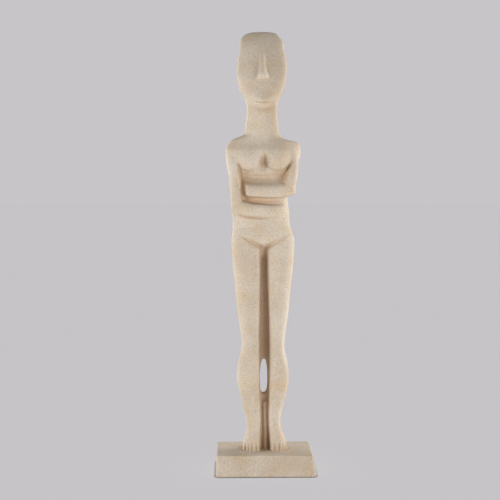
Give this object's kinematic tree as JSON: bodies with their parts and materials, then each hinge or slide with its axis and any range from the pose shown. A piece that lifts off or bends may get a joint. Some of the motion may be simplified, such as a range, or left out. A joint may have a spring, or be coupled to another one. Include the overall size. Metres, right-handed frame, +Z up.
{
  "type": "cycladic figurine",
  "caption": "Standing folded-arm figurine with a flat tilted face and a long nose, cast in fine sand-coloured stone in one piece with a low rectangular base.",
  "frame": {"origin": "middle of the base's underside, on the surface that the figurine stands on", "axes": "+Z up, the figure faces -Y, +X is the figure's own left"},
  "size_m": [0.0728, 0.0468, 0.32],
  "materials": {
    "cast_stone": "matte, fine sandy grain with small pits"
  },
  "bodies": {
    "root": {"figurine": "cast_stone"}
  },
  "joints": []
}
